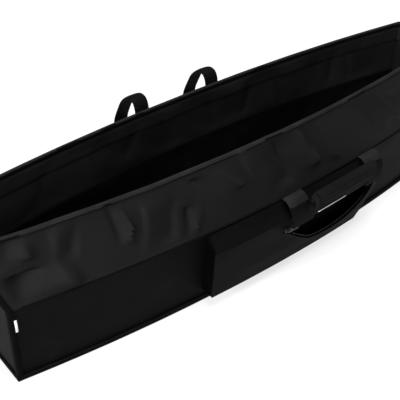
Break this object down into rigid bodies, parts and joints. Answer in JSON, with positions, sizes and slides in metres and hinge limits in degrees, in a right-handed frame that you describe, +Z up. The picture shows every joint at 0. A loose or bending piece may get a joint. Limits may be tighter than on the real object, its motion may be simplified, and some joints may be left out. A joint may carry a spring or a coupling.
{
  "type": "open-top gear bag",
  "caption": "Long open-topped black fabric bag with a bowed front and back, a zipped front pocket, a padded carry handle and hanging loops.",
  "frame": {"origin": "on the underside of the base, at the middle of its length and width", "axes": "+X along the bag towards its right end, +Y towards the back wall with the hanging loops, +Z up"},
  "size_m": [0.903, 0.3158, 0.2213],
  "materials": {
    "shell_fabric": "coated plain-weave nylon, matte black",
    "end_fabric": "coated plain-weave nylon, matte black, as the walls",
    "lining_fabric": "smooth black lining cloth",
    "binding_tape": "ribbed grosgrain tape, folded and stitched",
    "webbing": "flat-woven polyester webbing",
    "grip_fabric": "padded nylon, soft matte",
    "hook_tape": "hook tape",
    "pale_label": "blank pale woven tape",
    "zip_tape": "woven zip tape",
    "zip_teeth": "nylon zip teeth",
    "zip_metal": "black lacquered zinc",
    "stiffener_board": "grained board"
  },
  "bodies": {
    "bag": {"back_fold_piping": "binding_tape", "back_left_corner_binding": "binding_tape", "back_lower_panel": "shell_fabric", "back_right_corner_binding": "binding_tape", "back_upper_panel": "shell_fabric", "base_binding": "binding_tape", "base_board": "stiffener_board", "base_panel": "shell_fabric", "front_fold_piping": "binding_tape", "front_left_corner_binding": "binding_tape", "front_lower_panel": "shell_fabric", "front_right_corner_binding": "binding_tape", "front_upper_panel": "shell_fabric", "handle_anchor_left": "lining_fabric", "handle_anchor_right": "lining_fabric", "hanging_loop_left": "webbing", "hanging_loop_right": "webbing", "inner_hem": "lining_fabric", "left_end_panel": "end_fabric", "loop_anchor_left": "webbing", "loop_anchor_right": "webbing", "pocket_back_lining": "lining_fabric", "pocket_base_gusset": "shell_fabric", "pocket_front_panel": "shell_fabric", "pocket_left_gusset": "shell_fabric", "pocket_right_gusset": "shell_fabric", "pocket_seam_piping": "binding_tape", "pocket_top_panel": "shell_fabric", "right_end_panel": "end_fabric", "rim_binding": "binding_tape", "side_tab": "pale_label", "zip_stops": "zip_metal", "zip_tape_lower": "zip_tape", "zip_tape_upper": "zip_tape", "zip_teeth_lower": "zip_teeth", "zip_teeth_upper": "zip_teeth"},
    "handle": {"handle_leg_left": "webbing", "handle_leg_right": "webbing", "grip_core": "webbing", "grip_wrap": "grip_fabric", "grip_hook_patch": "hook_tape", "reflective_strip": "pale_label"},
    "grip_flap": {"grip_flap": "grip_fabric"},
    "zip_slider": {"zip_slider": "zip_metal"},
    "zip_pull": {"zip_pull": "zip_metal"}
  },
  "joints": [
    {"name": "handle_swing", "type": "hinge", "parent": "bag", "child": "handle", "pos_m": [0.08662, -0.10062, 0.1296], "axis": [-0.9993, -0.0372, 0], "range_deg": [0, 85]},
    {"name": "grip_flap_open", "type": "hinge", "parent": "handle", "child": "grip_flap", "pos_m": [0.08767, -0.1289, 0.13785], "axis": [-0.9993, -0.0372, 0], "range_deg": [0, 90]},
    {"name": "zip_run", "type": "hinge", "parent": "bag", "child": "zip_slider", "pos_m": [0, 2.31862, 0.0848], "axis": [0, 0, 1], "range_deg": [0, 4.4]},
    {"name": "zip_pull_swing", "type": "hinge", "parent": "zip_slider", "child": "zip_pull", "pos_m": [-0.016, -0.12344, 0.0848], "axis": [0, 0, -1], "range_deg": [0, 175]}
  ]
}
